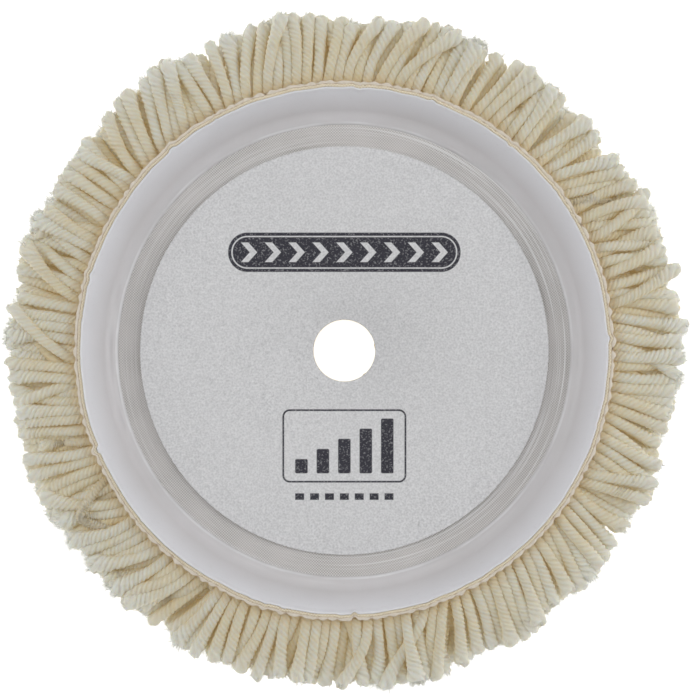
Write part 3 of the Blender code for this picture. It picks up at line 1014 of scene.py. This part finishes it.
def wool_finish():
    """Cream wool, pale at the open cut ends: the tan between the plies, down the sides that face other tufts
    and at the roots is painted shade, and its faint warm glow is painted light.
    """
    # Painted light: the emission makes the wool glow faintly warm, standing in for light scattered between
    # the tufts
    wool = Finish("wool_yarn", 0.9, Sheen_Weight=0.2, Sheen_Roughness=0.5, Specular_IOR_Level=0.1,
                  Subsurface_Weight=0.6, Emission_Color=(1.0, 0.70, 0.30, 1.0), Emission_Strength=0.08)
    wool.shader.inputs["Subsurface Radius"].default_value = (1.0, 0.8, 0.5)
    wool.shader.inputs["Subsurface Scale"].default_value = 1.2 * MM
    along = wool.stored("along")
    shade = wool.stored("shade")
    fibre_place = wool.vector(wool.stored("fibre_along"), wool.stored("fibre_round"), shade * 40.0)
    fibres = wool.noise(1.0, 3.0, fibre_place)
    # Each tuft's tone, with painted shade on the lower circles: pale cream to tan
    cream = wool.blend(shade, (0.66, 0.60, 0.43), (0.66, 0.695, 0.655))
    mottled = wool.blend(wool.noise(260.0, 2.0).ramp(0.45, 0.75) * 0.3, cream, (0.665, 0.60, 0.425))
    # Painted shade: tan in the grooves between the plies
    groove_shaded = wool.blend(wool.stored("groove").power(1.5) * 0.30, mottled, (0.67, 0.52, 0.26))
    # Painted shade: tan down the sides of a tuft that face away from its open side, towards its neighbours
    side_shaded = wool.blend(wool.stored("buried") * 0.8, groove_shaded, (0.79, 0.60, 0.28))
    # Painted shade: darker tan towards the roots
    root_shaded = wool.blend(along.ramp(0.22, 0.0) * 0.65, side_shaded, (0.58, 0.42, 0.19))
    tipped = wool.blend(along.ramp(0.60, 1.0) * (shade * 0.4 + 0.35), root_shaded, (0.72, 0.77, 0.76))
    wool.colour(wool.blend(fibres.ramp(0.45, 0.75) * 0.22, tipped, (0.63, 0.57, 0.40)))
    wool.bump(fibres, 0.22 * MM, 0.8)
    return wool.material


def wisp_finish():
    """Loose wool fibres, paler than the yarn."""
    wisp = Finish("wool_fibre", 0.85, Sheen_Weight=0.2, Specular_IOR_Level=0.2)
    wisp.colour(wisp.blend(wisp.noise(400.0, 1.0), (0.80, 0.79, 0.70), (0.88, 0.90, 0.86)))
    return wisp.material


def rising(along, begins, over):
    """0 where along is at begins or below, rising evenly to 1."""
    return np.clip((along - begins) / over, 0, 1)


def yarn_mesh(name, tufts, rings, points_in_ply, twisted_from=0.0):
    """One mesh of twisted yarn tufts, with the numbers that the wool material reads.

    Below twisted_from, where neighbours hide it, a tuft is one plain stretch.
    """
    count = len(tufts)
    around = PLIES * points_in_ply
    along = np.linspace(twisted_from, 1, rings)
    if twisted_from:
        along = np.concatenate([[0.0], along])
        rings += 1
    curves = smooth_paths(tufts.paths, along)
    tangents, normals, binormals = frames_along(curves)

    # The twist slackens towards the cut end
    lays = TWIST_LENGTH * RANDOM.uniform(0.88, 1.14, (count, 1))
    turned_by = along - TWIST_LOST * rising(along, *TWIST_SLACKENS) ** 2
    twist = RANDOM.uniform(0, TURN, (count, 1)) - TURN * turned_by * tufts.lengths[:, None] / lays
    side = np.arange(around)
    angles = twist[..., None] + TURN * side / around

    # The section: four plies, which swell and part towards the cut end, and a rounded end
    in_ply = (side % points_in_ply) / points_in_ply
    off_groove = np.minimum(in_ply, 1 - in_ply) * 2
    bloom = tufts.bloom[:, None] * rising(along, *BLOOMS) ** 1.2
    parted = rising(along, *PARTS)
    depth = GROOVE_DEPTH + 0.08 * bloom + 0.20 * parted
    outline = 1 - depth[..., None] * (1 - off_groove ** 0.6) ** 1.2
    end = np.clip((1 - along) / END_ROUND, 0, 1)
    closing = np.sqrt(1 - (1 - end) ** 2) * 0.40 + 0.60
    closing[-1] = 0.45
    rough = 1 + YARN_ROUGHNESS * RANDOM.normal(0, 1, (count, rings, around))
    radius = YARN_RADIUS * outline * ((1 + END_SWELL * bloom) * closing)[..., None] * rough
    ply_reach = RANDOM.normal(0, PLY_SLIP, (count, PLIES))[:, side // points_in_ply]
    shift = ply_reach[:, None] * (rising(along, *PLIES_SLIP) ** 2)[:, None]

    spoke = np.cos(angles)[..., None] * normals[:, :, None]
    spoke += np.sin(angles)[..., None] * binormals[:, :, None]
    points = curves[:, :, None] + radius[..., None] * spoke + shift[..., None] * tangents[:, :, None]
    points[..., 2] = np.maximum(points[..., 2], 0.0)
    piece = tubes(name, points, 2.5)

    shape = (count, rings, around)
    facing = (spoke * tufts.open_side[:, None, None]).sum(3)
    arc = along * tufts.lengths[:, None]
    # buried: how far a point faces away from the tuft's open side, where the wool material paints shade
    add_field(piece, "buried", np.clip((0.5 - facing) / 1.1, 0, 1))
    add_field(piece, "along", np.broadcast_to(along[:, None], shape))
    add_field(piece, "groove", np.broadcast_to(1 - off_groove, shape))
    add_field(piece, "shade", np.broadcast_to(tufts.shade[:, None, None], shape))
    add_field(piece, "fibre_along", np.broadcast_to(arc[..., None] * 450, shape))
    add_field(piece, "fibre_round", np.broadcast_to(side * 16.0 / around, shape))
    return piece


def wisp_mesh(name, tufts, each):
    """Loose fibres that stand off the open ends of the tufts, most of them at the cut end."""
    count = len(tufts)
    based_at = FIBRES_FROM + (FIBRES_TO - FIBRES_FROM) * RANDOM.random((count, each)) ** 0.25
    curves = smooth_paths(tufts.paths, np.linspace(0, 1, FIBRE_SAMPLES))
    tuft = np.arange(count)[:, None]
    sample = np.round(based_at * (FIBRE_SAMPLES - 1)).astype(int)
    base = curves[tuft, sample]
    tangent, normal, binormal = (vectors[tuft, sample] for vectors in frames_along(curves))

    turn = RANDOM.uniform(0, TURN, (count, each, 1))
    out = np.cos(turn) * normal + np.sin(turn) * binormal
    within = np.where(based_at > 0.93, RANDOM.uniform(0.1, 1.0, (count, each)) ** 0.5, 0.95)
    swell = 1 + 0.3 * tufts.bloom[:, None]
    base = base + out * (YARN_RADIUS * 0.85 * swell * within)[..., None]
    heading = tangent + out * RANDOM.uniform(0.15, 0.9, (count, each, 1))
    heading += RANDOM.normal(0, 0.18, (count, each, 3))
    heading /= np.linalg.norm(heading, axis=2)[..., None]
    bend = RANDOM.normal(0, 0.25, (count, each, 1, 3))
    reach = RANDOM.uniform(1.2, 3.0, (count, each, 1, 1)) * MM
    steps = np.array([0.0, 0.35, 0.7, 1.0])[:, None]
    paths = base[:, :, None] + reach * (heading[:, :, None] * steps + bend * steps ** 2)
    paths = paths.reshape(-1, len(steps), 3)
    paths[..., 2] = np.clip(paths[..., 2], 0.1 * MM, RIM_Z + 2.2 * MM)
    from_axis = np.hypot(paths[..., 0], paths[..., 1])[..., None]
    paths[..., :2] *= np.maximum(from_axis, HOLE_RADIUS + 0.6 * MM) / from_axis
    return thin_fibres(name, paths, FIBRE_THICKNESS * np.array([1.0, 0.85, 0.6, 0.12]))


def make_yarn():
    """All the tufts, packed together: one mesh for a row of the face, and one for each circle above it."""
    tufts = standing_tufts()
    pack(tufts)
    wool = wool_finish()
    fibre = wisp_finish()
    rows = tufts.circles // CIRCLES_IN_ROW
    rings, points_in_ply, loose = FACE_DETAIL
    for row in range(FLOOR_ROWS):
        node = f"pile_row_{row + 1:02d}"
        yarn = yarn_mesh(f"yarn_{node}", tufts.where(rows == row), rings, points_in_ply, FACE_TWIST_FROM)
        place(yarn, wool, "wool", node)
    place(wisp_mesh("fibres_face", tufts.where(rows < FLOOR_ROWS), loose), fibre, "wool")

    for row in range(FLOOR_ROWS, FLOOR_ROWS + CORNER_ROWS + WALL_ROWS):
        node = f"pile_row_{row + 1:02d}"
        on_wall = row >= FLOOR_ROWS + CORNER_ROWS
        rings, points_in_ply, loose = WALL_DETAIL if on_wall else CORNER_DETAIL
        for half, letter in enumerate("ab"):
            circle = tufts.where(tufts.circles == row * CIRCLES_IN_ROW + half)
            place(yarn_mesh(f"yarn_{node}{letter}", circle, rings, points_in_ply), wool, "wool", node)
        place(wisp_mesh(f"fibres_{node}", tufts.where(rows == row), loose), fibre, "wool")
    opened = tufts.where((tufts.bloom == OPEN_BLOOM) & (rows >= FLOOR_ROWS + CORNER_ROWS))
    place(wisp_mesh("fibres_open_ends", opened, OPENED_FIBRES), fibre, "wool")


# --- The stage ---

SKY_BAND = 0.55
HORIZON_LIGHT = 0.95
ZENITH_LIGHT = 0.24
FLOOR_SIZE = 40
FLOOR_GLOW = 0.80
LAMP_AIM = (0, 0, 0.03)
# Name, place, width and power of each lamp
LAMPS = (("key_left", (-0.9, 0.05, 0.75), 0.7, 2.8),
         ("key_right", (0.95, 0.05, 0.7), 0.7, 3.7),
         ("overhead", (0.0, 0.30, 1.2), 1.0, 2.8))
LENS, SENSOR = 90, 36
WIDTH_IN_VIEW = 0.2318
FOCUS_HEIGHT = 0.04
CAMERA_X, CAMERA_Y = 0.0019, 0.0002


def softbox(name, where, size, power):
    """A round lamp that faces the pad."""
    lamp = bpy.data.lights.new(name, "AREA")
    lamp.shape = "DISK"
    lamp.size = size
    lamp.energy = power
    light = bpy.data.objects.new(name, lamp)
    light.location = where
    light.rotation_euler = (Vector(LAMP_AIM) - Vector(where)).to_track_quat("-Z", "Y").to_euler()
    bpy.context.scene.collection.objects.link(light)


def studio_sky():
    """A pale world that is brightest at the horizon."""
    world = bpy.data.worlds.new("studio")
    world.use_nodes = True
    tree = world.node_tree
    direction = tree.nodes.new("ShaderNodeTexCoord")
    split = tree.nodes.new("ShaderNodeSeparateXYZ")
    tree.links.new(direction.outputs["Generated"], split.inputs[0])
    low = Field(tree, split.outputs["Z"]).ramp(SKY_BAND, 0.0)
    background = tree.nodes["Background"]
    background.inputs["Color"].default_value = (1, 1, 1, 1)
    light = low * (HORIZON_LIGHT - ZENITH_LIGHT) + ZENITH_LIGHT
    tree.links.new(light.socket, background.inputs["Strength"])
    bpy.context.scene.world = world


def make_stage():
    """A white glowing floor, soft studio light and a camera straight above the pad."""
    bpy.ops.mesh.primitive_plane_add(size=FLOOR_SIZE, location=(0, 0, 0))
    floor = bpy.context.object
    floor.name = "studio_floor"
    pale = Finish("studio_floor", 0.9, (0.93, 0.93, 0.93), Emission_Strength=FLOOR_GLOW)
    floor.data.materials.append(pale.material)

    studio_sky()
    for lamp in LAMPS:
        softbox(*lamp)

    lens = bpy.data.cameras.new("camera")
    lens.lens = LENS
    lens.sensor_width = SENSOR
    camera = bpy.data.objects.new("camera", lens)
    distance = WIDTH_IN_VIEW * lens.lens / lens.sensor_width
    camera.location = (CAMERA_X, CAMERA_Y, distance + FOCUS_HEIGHT)
    bpy.context.scene.collection.objects.link(camera)
    bpy.context.scene.camera = camera
    bpy.context.scene.view_settings.view_transform = "Standard"


make_loop_disc()
make_dish()
make_rim()
finish_hidden_layers()
make_yarn()
make_stage()
